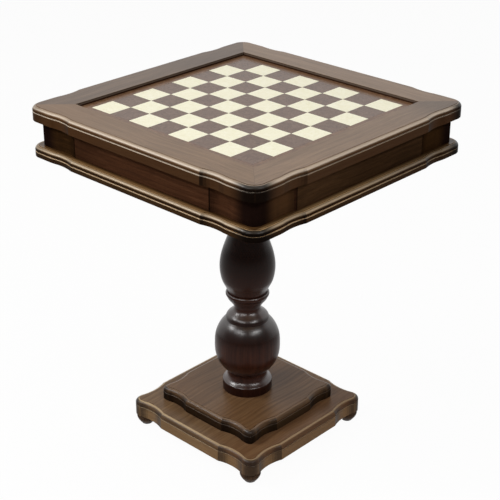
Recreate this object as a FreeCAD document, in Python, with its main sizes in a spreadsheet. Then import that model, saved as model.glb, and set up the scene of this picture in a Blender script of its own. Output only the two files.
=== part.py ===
"""Pedestal chess table with an inlaid board, built as an assembly of separate pieces.

Millimetres, +Z up, origin on the floor under the middle of the table.  The four sides are named
front (-Y), right (+X), back (+Y) and left (-X).  A drawer runs out of the front and one out of
the back; every other piece is glued, dowelled or screwed together.
"""
import FreeCAD
import Part
import Sketcher
import math
import os

doc = FreeCAD.newDocument("chess_table")

# Driving sizes: name, value in millimetres, meaning
SIZES = [
    ("square_size", 50.8, "pitch of the chess squares"),
    ("square_joint", 0.4, "dark joint between two squares"),
    ("square_thickness", 2.5, "thickness of squares and border"),
    ("border_width", 20.0, "border strip round the squares"),
    ("core_thickness", 12.0, "plywood core of the board"),
    ("board_recess", 7.0, "board surface below the frame"),
    ("board_clearance", 0.4, "gap between board and frame"),
    ("ledge_width", 10.0, "rebate ledge that carries the board"),
    ("opening_ease", 1.0, "eased inner arris of the top frame"),
    ("top_rail_width", 66.9, "top rail from the board opening to the outside"),
    ("top_thickness", 27.5, "thickness of the top frame"),
    ("top_scoop_run", 31.0, "from the arris to the deepest point of the scoop"),
    ("top_scoop_depth", 4.5, "depth of the scoop in plan"),
    ("top_corner_inset", 2.0, "corner set in from the straight side"),
    ("top_swell_radius", 100.0, "swelling curve between scoop and corner"),
    ("top_crest", 31.3, "straight run between swell and corner"),
    ("top_corner_radius", 28.0, "rounded corner in plan"),
    ("mould_step", 0.8, "small step above the rounded edge"),
    ("mould_radius", 7.5, "rounded edge of top frame and lower moulding"),
    ("mould_shoulder", 0.6, "straight part under that rounded edge"),
    ("base_mould_radius", 8.0, "rounded edge of the base steps"),
    ("base_mould_shoulder", 1.5, "straight part under that rounded edge"),
    ("quirk_depth", 1.8, "groove under the rounded edge, inwards"),
    ("quirk_height", 1.6, "groove under the rounded edge, height"),
    ("bead_radius", 0.9, "eased arris under the groove"),
    ("spline_length", 44.0, "mitre spline along the mitre"),
    ("spline_width", 28.0, "mitre spline across the mitre"),
    ("spline_thickness", 4.0, "thickness of a mitre spline"),
    ("spline_lift", 5.0, "mitre spline above the underside of the frame"),
    ("spline_inset", 35.0, "middle of a mitre spline from the outside of the frame"),
    ("glue_clearance", 0.1, "gap of glued-in splines, dowels and screws"),
    ("cut_overrun", 1.0, "cuts run past the face they start from"),
    ("top_overhang", 16.3, "top frame beyond the aprons"),
    ("apron_height", 50.0, "height of posts and aprons"),
    ("apron_scoop_run", 28.5, "from the arris to the deepest point of the scoop"),
    ("apron_scoop_depth", 4.5, "depth of the scoop in plan"),
    ("apron_corner_inset", 1.5, "post corner set in from the apron face"),
    ("apron_swell_radius", 100.0, "swelling curve between scoop and corner"),
    ("apron_crest", 22.85, "straight run between swell and corner"),
    ("apron_corner_radius", 16.0, "rounded corner of a post"),
    ("apron_thickness", 18.0, "thickness of a fixed apron"),
    ("lower_rail_height", 20.0, "height of the lower moulding"),
    ("lower_rail_width", 58.0, "lower moulding, outside to inside"),
    ("panel_rebate", 10.0, "rebate in the lower moulding for the bottom panel"),
    ("panel_thickness", 12.0, "bottom panel of the box"),
    ("panel_clearance", 0.5, "gap round the bottom panel"),
    ("finger_slot", 27.0, "open slot under each drawer"),
    ("dowel_diameter", 8.0, "dowels through the posts"),
    ("dowel_embed", 10.0, "dowel length in each rail"),
    ("dowel_from_arris", 34.0, "dowel position along the post"),
    ("dowel_from_face", 22.0, "dowel position behind the apron face"),
    ("drawer_gap", 1.0, "gap round a drawer front"),
    ("drawer_front_thickness", 16.0, "thickness of a drawer front"),
    ("drawer_side_thickness", 10.0, "thickness of drawer sides and back"),
    ("drawer_head_room", 8.0, "drawer sides below the top frame"),
    ("drawer_bottom_thickness", 5.0, "thickness of a drawer bottom"),
    ("drawer_bottom_lift", 4.0, "drawer bottom above the runner face"),
    ("drawer_groove_depth", 5.0, "groove that holds the drawer bottom"),
    ("drawer_groove_play", 0.2, "play of the bottom in its groove"),
    ("drawer_side_play", 1.0, "drawer box narrower than its front, each side"),
    ("finger_hole_diameter", 24.0, "finger hole in a drawer bottom"),
    ("guide_width", 14.0, "width of a drawer guide"),
    ("guide_height", 16.0, "height of a drawer guide"),
    ("guide_play", 0.5, "gap between drawer side and guide"),
    ("stop_width", 44.0, "stop bar between the drawers"),
    ("stop_height", 24.0, "height of the stop bar"),
    ("stop_play", 0.2, "gap between stop bar and drawer"),
    ("plate_width", 190.0, "square mounting plate"),
    ("plate_thickness", 18.0, "thickness of the mounting plate"),
    ("plate_screw_inset", 23.0, "mounting screws from the edge of the plate"),
    ("screw_diameter", 4.0, "shank of a wood screw"),
    ("screw_head_diameter", 8.0, "countersunk head of a wood screw"),
    ("screw_head_height", 2.4, "height of the countersunk head"),
    ("screw_bite", 9.0, "screw length in the second piece"),
    ("rod_diameter", 8.0, "tie rod"),
    ("rod_clearance", 0.6, "gap round the tie rod"),
    ("rod_overrun", 3.0, "rod end beyond its nut"),
    ("nut_flats", 13.0, "nut across flats"),
    ("nut_height", 6.5, "height of a nut"),
    ("washer_diameter", 22.0, "washer"),
    ("washer_thickness", 1.6, "thickness of a washer"),
    ("pocket_diameter", 26.0, "counterbore round nut and washer"),
    ("pocket_depth", 12.5, "depth of the counterbores"),
    ("foot_height", 23.0, "floor to the underside of the base"),
    ("foot_radius", 20.5, "foot at its fullest"),
    ("foot_toe_radius", 12.5, "foot at the floor"),
    ("foot_neck_radius", 18.0, "groove under the base"),
    ("foot_belly", 0.70, "fullest part of a foot, as a share of its height"),
    ("foot_groove", 0.92, "groove under the base, as a share of the foot height"),
    ("foot_inset", 22.5, "middle of a foot from the sides of the base"),
    ("foot_tenon_diameter", 14.0, "tenon of a foot"),
    ("foot_tenon_length", 18.0, "length of the tenon"),
    ("pad_radius", 11.0, "felt pad under a foot"),
    ("pad_thickness", 2.0, "thickness of a felt pad"),
    ("base_tread", 41.5, "lower base step beyond the upper one"),
    ("base_thickness", 34.5, "thickness of the lower base step"),
    ("base_scoop_run", 34.0, "from the arris to the deepest point of the scoop"),
    ("base_scoop_depth", 6.5, "depth of the scoop in plan"),
    ("base_corner_inset", 1.5, "corner set in from the straight side"),
    ("base_swell_radius", 20.0, "swelling curve between scoop and corner"),
    ("base_crest", 1.9, "straight run between swell and corner"),
    ("base_corner_radius", 18.0, "rounded corner in plan"),
    ("step_width", 256.0, "upper base step across the straight sides"),
    ("step_thickness", 28.0, "thickness of the upper base step"),
    ("step_scoop_run", 32.0, "from the arris to the deepest point of the scoop"),
    ("step_scoop_depth", 7.0, "depth of the scoop in plan"),
    ("step_corner_inset", 3.5, "corner set in from the straight side"),
    ("step_swell_radius", 30.0, "swelling curve between scoop and corner"),
    ("step_crest", 6.9, "straight run between swell and corner"),
    ("step_corner_radius", 8.5, "rounded corner in plan"),
    ("step_screw_inset", 50.0, "base screws from the sides of the upper step"),
    ("ring_radius", 50.2, "foot ring of the column"),
    ("ring_side", 16.5, "straight side of the foot ring"),
    ("ring_round_height", 4.5, "rounded top of the foot ring, height"),
    ("ring_round_width", 2.7, "rounded top of the foot ring, inwards"),
    ("flare_rise", 19.8, "foot ring up to the ball"),
    ("ball_foot_radius", 38.5, "foot of the ball"),
    ("ball_radius", 65.9, "ball at its fullest"),
    ("ball_top_radius", 42.0, "ball under its shoulder"),
    ("ball_drop", 60.7, "fullest part of the ball above its foot"),
    ("ball_rise", 57.5, "fullest part of the ball up to its shoulder"),
    ("shoulder_radius", 43.1, "rim of the shoulder on top of the ball"),
    ("shoulder_height", 4.0, "height of that rim"),
    ("waist_radius", 26.0, "waist between ball and vase"),
    ("waist_fall", 21.7, "shoulder rim up to the waist"),
    ("cup_radius", 36.3, "cup above the waist, below its fine step"),
    ("cup_rise", 17.8, "waist up to the fine step of the cup"),
    ("cup_step", 1.2, "fine step of the cup, outwards"),
    ("cup_lip_radius", 41.2, "cup under the collar"),
    ("cup_lip_rise", 7.0, "fine step of the cup up to its lip"),
    ("collar_groove", 0.8, "groove between cup and collar, height"),
    ("collar_groove_depth", 1.5, "groove between cup and collar, inwards"),
    ("collar_radius", 43.5, "collar under the vase"),
    ("collar_height", 9.2, "height of the collar"),
    ("collar_bulge", 2.4, "how far the collar stands out"),
    ("vase_foot_radius", 38.5, "foot of the vase inside the collar"),
    ("vase_radius", 55.0, "vase at its fullest"),
    ("vase_rise", 56.5, "collar up to the fullest part of the vase"),
    ("vase_fall", 102.0, "fullest part of the vase up to its neck"),
    ("neck_radius", 30.0, "neck of the vase"),
    ("neck_rise", 11.0, "neck up to its ring"),
    ("neck_ring_radius", 38.0, "ring on the neck"),
    ("neck_ring_height", 11.0, "height of that ring"),
    ("neck_ring_bulge", 6.0, "how far that ring stands out"),
    ("capital_rise", 84.0, "neck ring up to the capital"),
    ("capital_radius", 54.0, "capital under the mounting plate"),
    ("capital_height", 18.0, "height of the capital"),
    ("capital_lip", 4.0, "capital beyond the neck below it"),
]

sizes = doc.addObject("Spreadsheet::Sheet", "sizes")
for row, (name, number, meaning) in enumerate(SIZES, start=1):
    sizes.set("A%d" % row, meaning)
    sizes.set("B%d" % row, str(number))
    sizes.setAlias("B%d" % row, name)
doc.recompute()


def size(name):
    """Read one driving size from the sheet."""
    return float(sizes.get(name))


# Levels and half widths that several pieces share, worked out from the driving sizes
LEVELS = [
    ("base_under", "sizes.foot_height"),
    ("base_top", "base_under + sizes.base_thickness"),
    ("step_top", "base_top + sizes.step_thickness"),
    ("ring_side_top", "step_top + sizes.ring_side"),
    ("ring_top", "ring_side_top + sizes.ring_round_height"),
    ("ball_foot", "ring_top + sizes.flare_rise"),
    ("ball_level", "ball_foot + sizes.ball_drop"),
    ("shoulder_level", "ball_level + sizes.ball_rise"),
    ("shoulder_top", "shoulder_level + sizes.shoulder_height"),
    ("waist_level", "shoulder_top + sizes.waist_fall"),
    ("cup_level", "waist_level + sizes.cup_rise"),
    ("cup_top", "cup_level + sizes.cup_lip_rise"),
    ("collar_level", "cup_top + sizes.collar_groove"),
    ("collar_top", "collar_level + sizes.collar_height"),
    ("vase_level", "collar_top + sizes.vase_rise"),
    ("neck_level", "vase_level + sizes.vase_fall"),
    ("neck_ring_level", "neck_level + sizes.neck_rise"),
    ("neck_ring_top", "neck_ring_level + sizes.neck_ring_height"),
    ("capital_level", "neck_ring_top + sizes.capital_rise"),
    ("column_top", "capital_level + sizes.capital_height"),
    ("plate_top", "column_top + sizes.plate_thickness"),
    ("box_floor", "plate_top + sizes.panel_thickness"),
    ("lower_under", "box_floor - sizes.lower_rail_height"),
    ("top_under", "box_floor + sizes.apron_height"),
    ("table_height", "top_under + sizes.top_thickness"),
    ("board_face", "table_height - sizes.board_recess"),
    ("core_top", "board_face - sizes.square_thickness"),
    ("core_under", "core_top - sizes.core_thickness"),
    ("field_half", "4 * sizes.square_size"),
    ("board_half", "field_half + sizes.border_width"),
    ("opening_half", "board_half + sizes.board_clearance"),
    ("top_half", "opening_half + sizes.top_rail_width"),
    ("apron_half", "top_half - sizes.top_overhang"),
    ("step_half", "sizes.step_width / 2"),
    ("base_half", "step_half + sizes.base_tread"),
    ("foot_centre", "base_half - sizes.foot_inset"),
    ("step_screw", "step_half - sizes.step_screw_inset"),
    ("plate_half", "sizes.plate_width / 2"),
    ("plate_screw", "plate_half - sizes.plate_screw_inset"),
]
for plan_name in ("top", "apron", "base", "step"):
    part = "sizes." + plan_name
    rise = "(%s_scoop_depth - %s_corner_inset)" % (part, part)
    radius = "(%s_scoop_run ^ 2 + %s_scoop_depth ^ 2) / (2 * %s_scoop_depth)" % (part, part, part)
    reach = "(%s_scoop_radius + %s_swell_radius)" % (plan_name, part)
    crest_end = "%s_half - %s_corner_inset - %s_corner_radius" % (plan_name, part, part)
    scoop = "%s_crest_start - %s_swell_run" % (plan_name, plan_name)
    LEVELS.append((plan_name + "_scoop_radius", radius))
    LEVELS.append((plan_name + "_swell_run", "sqrt(2 * %s * %s - %s ^ 2)" % (reach, rise, rise)))
    LEVELS.append((plan_name + "_crest_end", crest_end))
    LEVELS.append((plan_name + "_crest_start", "%s_crest_end - %s_crest" % (plan_name, part)))
    LEVELS.append((plan_name + "_scoop", scoop))
    LEVELS.append((plan_name + "_flat", "%s_scoop - %s_scoop_run" % (plan_name, part)))
LEVELS += [
    ("lower_inside", "top_half - sizes.lower_rail_width"),
    ("panel_half", "lower_inside + sizes.panel_rebate - sizes.panel_clearance"),
    ("panel_edge", "lower_inside - sizes.finger_slot"),
    ("front_half", "apron_flat - sizes.drawer_gap"),
    ("box_half", "front_half - sizes.drawer_side_play"),
    ("front_inside", "apron_half - sizes.drawer_front_thickness"),
    ("stop_half", "sizes.stop_width / 2"),
    ("drawer_end", "stop_half + sizes.stop_play"),
    ("bottom_under", "box_floor + sizes.drawer_bottom_lift"),
    ("bottom_top", "bottom_under + sizes.drawer_bottom_thickness"),
]

levels = doc.addObject("Spreadsheet::Sheet", "levels")
for row, (name, formula) in enumerate(LEVELS, start=1):
    levels.set("A%d" % row, name)
    levels.set("B%d" % row, "=" + formula)
    levels.setAlias("B%d" % row, name)
    doc.recompute()


def level(name):
    """Read one worked-out level or half width."""
    return float(levels.get(name))


PIECES = []
SIDES = ["front", "right", "back", "left"]


def vector(x, y, z=0.0):
    return FreeCAD.Vector(x, y, z)


def piece(name, item):
    """Register a finished object as one named piece of the table."""
    item.Label = name
    PIECES.append(item)
    return item


def shaped(name, shape):
    """A piece whose curved form is set by code from the sheet sizes."""
    item = doc.addObject("Part::Feature", name)
    item.Shape = shape
    return piece(name, item)


def turned_about_z(shape, quarter_turns):
    """A copy turned anticlockwise about the table axis."""
    copy = shape.copy()
    copy.rotate(vector(0, 0), vector(0, 0, 1), 90.0 * quarter_turns)
    return copy


def block(name, x_low, x_high, y_low, y_high, z_low, z_high):
    """A rectangular board; each argument is an expression of the sheet sizes."""
    item = doc.addObject("Part::Box", name)
    item.setExpression("Length", "(%s) - (%s)" % (x_high, x_low))
    item.setExpression("Width", "(%s) - (%s)" % (y_high, y_low))
    item.setExpression("Height", "(%s) - (%s)" % (z_high, z_low))
    item.setExpression("Placement.Base.x", x_low)
    item.setExpression("Placement.Base.y", y_low)
    item.setExpression("Placement.Base.z", z_low)
    return item


def rod(name, radius, x, y, z_low, z_high):
    """A round bar standing upright; each argument is an expression of the sheet sizes."""
    item = doc.addObject("Part::Cylinder", name)
    item.setExpression("Radius", radius)
    item.setExpression("Height", "(%s) - (%s)" % (z_high, z_low))
    item.setExpression("Placement.Base.x", x)
    item.setExpression("Placement.Base.y", y)
    item.setExpression("Placement.Base.z", z_low)
    return item


def cone(name, foot_radius, top_radius, x, y, z_low, height):
    """A cone standing upright; each argument is an expression of the sheet sizes."""
    item = doc.addObject("Part::Cone", name)
    item.setExpression("Radius1", foot_radius)
    item.setExpression("Radius2", top_radius)
    item.setExpression("Height", height)
    item.setExpression("Placement.Base.x", x)
    item.setExpression("Placement.Base.y", y)
    item.setExpression("Placement.Base.z", z_low)
    return item


def fused(name, items):
    """Several solids joined into one."""
    item = doc.addObject("Part::MultiFuse", name)
    item.Shapes = items
    item.Refine = True
    return item


def group(name, items):
    """Like solids kept apart in one named piece."""
    item = doc.addObject("Part::Compound", name)
    item.Links = items
    return item


def cut_away(name, solid, tools):
    """A solid with the tools cut out of it."""
    cut = doc.addObject("Part::Cut", name)
    cut.Base = solid
    cut.Tool = tools[0] if len(tools) == 1 else fused(name + "_tools", tools)
    return cut


def signed(sign, expression):
    return "0" if sign == 0 else "%d * (%s)" % (sign, expression)


CORNER_SIGNS = [(1, -1), (1, 1), (-1, 1), (-1, -1)]
CORNER_NAMES = ["front_right", "back_right", "back_left", "front_left"]


# Plan outline shared by top, lower moulding, posts and base: a straight middle ending in a crisp
# arris, a hollow scoop, a gentle swell and a rounded corner.
def outline_sizes(prefix):
    return {
        "half": level(prefix + "_half"),
        "depth": size(prefix + "_scoop_depth"),
        "inset": size(prefix + "_corner_inset"),
        "swell": size(prefix + "_swell_radius"),
        "corner": size(prefix + "_corner_radius"),
        "scoop_radius": level(prefix + "_scoop_radius"),
        "scoop_x": level(prefix + "_scoop"),
        "swell_x": level(prefix + "_crest_start"),
        "corner_x": level(prefix + "_crest_end"),
    }


def outline_wire(plan, inward, z):
    """Closed plan outline, offset inwards, at one height."""
    scoop_radius = plan["scoop_radius"]
    scoop_x, swell_x, corner_x = plan["scoop_x"], plan["swell_x"], plan["corner_x"]
    scoop_centre = vector(scoop_x, plan["half"] - plan["depth"] + scoop_radius, z)
    swell_centre = vector(swell_x, plan["half"] - plan["inset"] - plan["swell"], z)

    radius = scoop_radius + inward
    drop = scoop_radius - plan["depth"] + inward
    arris = vector(scoop_x - math.sqrt(radius ** 2 - drop ** 2), plan["half"] - inward, z)
    bend_direction = (swell_centre - scoop_centre).normalize()
    bend = scoop_centre + bend_direction * radius
    swell_radius = plan["swell"] - inward
    crest = vector(swell_x, plan["half"] - plan["inset"] - inward, z)
    corner_start = vector(corner_x, crest.y, z)
    corner_radius = plan["corner"] - inward
    diagonal = corner_x + corner_radius * math.sqrt(0.5)
    corner_middle = vector(diagonal, diagonal, z)

    def mirrored(point):
        return vector(point.y, point.x, z)

    def on_arc(centre, arc_radius, first, second):
        middle = (first + second) * 0.5 - centre
        return centre + middle.normalize() * arc_radius

    scoop_middle = on_arc(scoop_centre, radius, arris, bend)
    swell_middle = on_arc(swell_centre, swell_radius, bend, crest)
    half_corner = [
        ("arc", arris, scoop_middle, bend),
        ("arc", bend, swell_middle, crest),
        ("line", crest, corner_start),
    ]
    run = list(half_corner)
    run.append(("arc", corner_start, corner_middle, mirrored(corner_start)))
    for segment in reversed(half_corner):
        points = [mirrored(point) for point in reversed(segment[1:])]
        run.append((segment[0],) + tuple(points))
    run.append(("line", mirrored(arris), vector(arris.y, -arris.x, z)))

    edges = []
    for turn in range(4):
        for segment in run:
            points = []
            for point in segment[1:]:
                x, y = point.x, point.y
                for _ in range(turn):
                    x, y = y, -x
                points.append(vector(x, y, z))
            if segment[0] == "arc":
                edges.append(Part.Arc(*points).toShape())
            else:
                edges.append(Part.LineSegment(*points).toShape())
    return Part.Wire(Part.__sortEdges__(edges))


def outline_slab(plan, inward, z_low, z_high):
    face = Part.Face(outline_wire(plan, inward, z_low))
    return face.extrude(vector(0, 0, z_high - z_low))


LEVEL_TOLERANCE = 1e-4


def edges_at(shape, z):
    """The edges of a shape that lie flat at one height."""
    found = []
    for edge in shape.Edges:
        box = edge.BoundBox
        if abs(box.ZMin - z) < LEVEL_TOLERANCE and abs(box.ZMax - z) < LEVEL_TOLERANCE:
            found.append(edge)
    return found


def moulded_slab(plan, mould, z_low, z_high):
    """A board with the moulded edge: step, rounded edge, groove, eased arris and flat band."""
    radius = size(mould + "_radius")
    round_top = z_high - size("mould_step")
    round_low = round_top - radius - size(mould + "_shoulder")
    band_top = round_low - size("quirk_height")
    band = outline_slab(plan, 0.0, z_low, band_top)
    band = band.makeFillet(size("bead_radius"), edges_at(band, band_top))
    neck = outline_slab(plan, size("quirk_depth"), band_top, round_low)
    rounded = outline_slab(plan, 0.0, round_low, round_top)
    rounded = rounded.makeFillet(radius, edges_at(rounded, round_top))
    cap = outline_slab(plan, radius, round_top, z_high)
    return band.fuse([neck, rounded, cap]).removeSplitter()


overrun = size("cut_overrun")


def square_hole(half, z_low, z_high):
    return Part.makeBox(2 * half, 2 * half, z_high - z_low, vector(-half, -half, z_low))


def side_wedge(z_low, z_high):
    """Everything on the front side of the two diagonals."""
    reach = 2 * level("top_half")
    corners = [vector(0, 0, z_low), vector(-reach, -reach, z_low), vector(reach, -reach, z_low)]
    face = Part.Face(Part.makePolygon(corners + corners[:1]))
    return face.extrude(vector(0, 0, z_high - z_low))


def mitre_box(middle, length, width, z_low, z_high):
    """A flat bar lying along the front right mitre."""
    bar = Part.makeBox(length, width, z_high - z_low, vector(-length / 2, -width / 2, z_low))
    bar.rotate(vector(0, 0), vector(0, 0, 1), -45.0)
    bar.translate(vector(middle, -middle))
    return bar


def mitred_rails(prefix, ring, tools):
    """Cut a moulded ring into its four mitred rails, after taking the tools out of it."""
    wedge = side_wedge(ring.BoundBox.ZMin - overrun, ring.BoundBox.ZMax + overrun)
    for tool in tools:
        for turn in range(4):
            ring = ring.cut(turned_about_z(tool, turn))
    rail = ring.common(wedge)
    for turn, side in enumerate(SIDES):
        shaped(prefix + "_rail_" + side, turned_about_z(rail, turn).Solids[0])


def post_dowel_points():
    """The two dowels of the front right post."""
    along = level("apron_flat") + size("dowel_from_arris")
    behind = level("apron_half") - size("dowel_from_face")
    return [(along, -behind), (behind, -along)]


def dowel_holes(z_low, z_high, radius):
    return [
        Part.makeCylinder(radius, z_high - z_low, vector(x, y, z_low))
        for x, y in post_dowel_points()
    ]


# Top frame: four mitred, moulded rails with a rebate that carries the board
top_plan = outline_sizes("top")
top_ring = moulded_slab(top_plan, "mould", level("top_under"), level("table_height"))
above_top = level("table_height") + overrun
below_top = level("top_under") - overrun
top_ring = top_ring.cut(square_hole(level("opening_half"), level("core_under"), above_top))
opening_reach = level("opening_half") + overrun
opening_edges = []
for edge in edges_at(top_ring, level("table_height")):
    if edge.BoundBox.XMax < opening_reach and edge.BoundBox.XMin > -opening_reach:
        if edge.BoundBox.YMax < opening_reach and edge.BoundBox.YMin > -opening_reach:
            opening_edges.append(edge)
top_ring = top_ring.makeFillet(size("opening_ease"), opening_edges)
ledge_half = level("opening_half") - size("ledge_width")
top_ring = top_ring.cut(square_hole(ledge_half, below_top, above_top))
spline_middle = level("top_half") - size("spline_inset")
spline_low = level("top_under") + size("spline_lift")
spline_high = spline_low + size("spline_thickness")
play = size("glue_clearance")
spline_slot = mitre_box(
    spline_middle,
    size("spline_length") + 2 * play,
    size("spline_width") + 2 * play,
    spline_low - play,
    spline_high + play,
)
dowel_hole_radius = size("dowel_diameter") / 2 + play
dowel_top = level("top_under") + size("dowel_embed")
top_tools = [spline_slot] + dowel_holes(below_top, dowel_top, dowel_hole_radius)
mitred_rails("top", top_ring, top_tools)

spline = mitre_box(
    spline_middle, size("spline_length"), size("spline_width"), spline_low, spline_high
)
shaped("top_mitre_splines", Part.makeCompound([turned_about_z(spline, turn) for turn in range(4)]))

# Board: plywood core, thirty-two light and thirty-two dark squares, four mitred border strips
piece(
    "board_core",
    block(
        "board_core",
        "-levels.board_half", "levels.board_half",
        "-levels.board_half", "levels.board_half",
        "levels.core_under", "levels.core_top",
    ),
)


def chess_squares(parity):
    """The squares of one colour; the near right corner square is dark."""
    pitch = size("square_size")
    side = pitch - size("square_joint")
    squares = []
    for column in range(8):
        for line in range(8):
            if (column + line) % 2 == parity:
                x = (column - 4) * pitch + size("square_joint") / 2
                y = (line - 4) * pitch + size("square_joint") / 2
                corner = vector(x, y, level("core_top"))
                squares.append(Part.makeBox(side, side, size("square_thickness"), corner))
    return Part.makeCompound(squares)


shaped("light_squares", chess_squares(0))
shaped("dark_squares", chess_squares(1))

border_inner = level("field_half")
border_outer = level("board_half")
border_points = [
    vector(-border_outer, -border_outer, level("core_top")),
    vector(border_outer, -border_outer, level("core_top")),
    vector(border_inner, -border_inner, level("core_top")),
    vector(-border_inner, -border_inner, level("core_top")),
]
border_face = Part.Face(Part.makePolygon(border_points + border_points[:1]))
border_strip = border_face.extrude(vector(0, 0, size("square_thickness")))
shaped("board_border", Part.makeCompound([turned_about_z(border_strip, turn) for turn in range(4)]))

# Apron box: four shaped corner posts on dowels and two fixed aprons between them
apron_plan = outline_sizes("apron")
post_block = outline_slab(apron_plan, 0.0, level("box_floor"), level("top_under"))
post_corner = Part.makeBox(
    level("apron_half"),
    level("apron_half"),
    size("apron_height"),
    vector(level("apron_flat"), -level("apron_flat") - level("apron_half"), level("box_floor")),
)
post = post_block.common(post_corner)
post_low = level("box_floor") - overrun
post_high = level("top_under") + overrun
for hole in dowel_holes(post_low, post_high, dowel_hole_radius):
    post = post.cut(hole)
for turn, corner in enumerate(CORNER_NAMES):
    shaped("post_" + corner, turned_about_z(post, turn).Solids[0])

dowel_along = "levels.apron_flat + sizes.dowel_from_arris"
dowel_behind = "levels.apron_half - sizes.dowel_from_face"
dowels = []
for x_sign, y_sign in CORNER_SIGNS:
    for x_size, y_size in ((dowel_along, dowel_behind), (dowel_behind, dowel_along)):
        dowels.append(
            rod(
                "dowel_%d" % (len(dowels) + 1),
                "sizes.dowel_diameter / 2",
                signed(x_sign, x_size), signed(y_sign, y_size),
                "levels.box_floor - sizes.dowel_embed", "levels.top_under + sizes.dowel_embed",
            )
        )
piece("post_dowels", group("post_dowels", dowels))

piece(
    "apron_right",
    block(
        "apron_right",
        "levels.apron_half - sizes.apron_thickness", "levels.apron_half",
        "-levels.apron_flat", "levels.apron_flat",
        "levels.box_floor", "levels.top_under",
    ),
)
piece(
    "apron_left",
    block(
        "apron_left",
        "-levels.apron_half", "-levels.apron_half + sizes.apron_thickness",
        "-levels.apron_flat", "levels.apron_flat",
        "levels.box_floor", "levels.top_under",
    ),
)

# Lower moulding: four mitred rails under posts and aprons, rebated for the bottom panel
lower_ring = moulded_slab(top_plan, "mould", level("lower_under"), level("box_floor"))
below_lower = level("lower_under") - overrun
above_lower = level("box_floor") + overrun
lower_ring = lower_ring.cut(square_hole(level("lower_inside"), below_lower, above_lower))
rebate_half = level("lower_inside") + size("panel_rebate")
lower_ring = lower_ring.cut(square_hole(rebate_half, level("plate_top"), above_lower))
dowel_foot = level("box_floor") - size("dowel_embed")
lower_tools = dowel_holes(dowel_foot, above_lower, dowel_hole_radius)
mitred_rails("lower", lower_ring, lower_tools)


# Wood screws: a countersunk head and a plain shank, standing point up, each in a hole that is
# larger all round by the glue clearance
def screw_solid(name, x, y, z_head, length, play):
    shank = "sizes.screw_diameter / 2 + " + play
    head = "sizes.screw_head_diameter / 2 + " + play
    parts = [
        cone(name + "_head", head, shank, x, y, z_head, "sizes.screw_head_height"),
        rod(name + "_shank", shank, x, y, z_head, "(%s) + (%s) + %s" % (z_head, length, play)),
    ]
    return fused(name, parts)


def screws_and_holes(name, points, z_head, length):
    """Screws at the given points, and the hole tools for the pieces that they join."""
    screws, holes = [], []
    for number, (x, y) in enumerate(points, start=1):
        mark = "%s_%d" % (name, number)
        screws.append(screw_solid(mark, x, y, z_head, length, "0"))
        holes.append(screw_solid(mark + "_hole", x, y, z_head, length, "sizes.glue_clearance"))
    return screws, holes


# Bottom panel of the box, mounting plate and the screws that hold the plate under the panel
plate_screw_points = []
for x_sign in (-1, 0, 1):
    for y_sign in (-1, 0, 1):
        if x_sign != 0 or y_sign != 0:
            x = signed(x_sign, "levels.plate_screw")
            y = signed(y_sign, "levels.plate_screw")
            plate_screw_points.append((x, y))
plate_screws, plate_holes = screws_and_holes(
    "mounting_screw", plate_screw_points, "levels.column_top", "sizes.plate_thickness + sizes.screw_bite"
)
panel_board = block(
    "bottom_panel_board",
    "-levels.panel_half", "levels.panel_half",
    "-levels.panel_edge", "levels.panel_edge",
    "levels.plate_top", "levels.box_floor",
)
piece("bottom_panel", cut_away("bottom_panel", panel_board, plate_holes))


def rod_hole(name):
    """The clearance hole of the tie rod, through everything it passes."""
    radius = "sizes.rod_diameter / 2 + sizes.rod_clearance"
    return rod(name, radius, "0", "0", "0", "levels.plate_top + sizes.cut_overrun")


plate_board = block(
    "mounting_plate_board",
    "-levels.plate_half", "levels.plate_half",
    "-levels.plate_half", "levels.plate_half",
    "levels.column_top", "levels.plate_top",
)
plate_pocket = rod(
    "mounting_plate_pocket",
    "sizes.pocket_diameter / 2",
    "0", "0",
    "levels.plate_top - sizes.pocket_depth", "levels.plate_top + sizes.cut_overrun",
)
plate_tools = plate_holes + [rod_hole("mounting_plate_rod_hole"), plate_pocket]
piece("mounting_plate", cut_away("mounting_plate", plate_board, plate_tools))
piece("mounting_screws", group("mounting_screws", plate_screws))

# Drawer guides along both sides of the box and the stop bar between the two drawers
for side, sign in (("right", 1), ("left", -1)):
    near = "levels.box_half + sizes.guide_play"
    far = "levels.box_half + sizes.guide_play + sizes.guide_width"
    if sign < 0:
        near, far = "-(%s)" % far, "-(%s)" % near
    piece(
        "drawer_guide_" + side,
        block(
            "drawer_guide_" + side,
            near, far,
            "-levels.apron_flat", "levels.apron_flat",
            "levels.box_floor", "levels.box_floor + sizes.guide_height",
        ),
    )
piece(
    "drawer_stop_bar",
    block(
        "drawer_stop_bar",
        "-levels.box_half", "levels.box_half",
        "-levels.stop_half", "levels.stop_half",
        "levels.box_floor", "levels.box_floor + sizes.stop_height",
    ),
)


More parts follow.
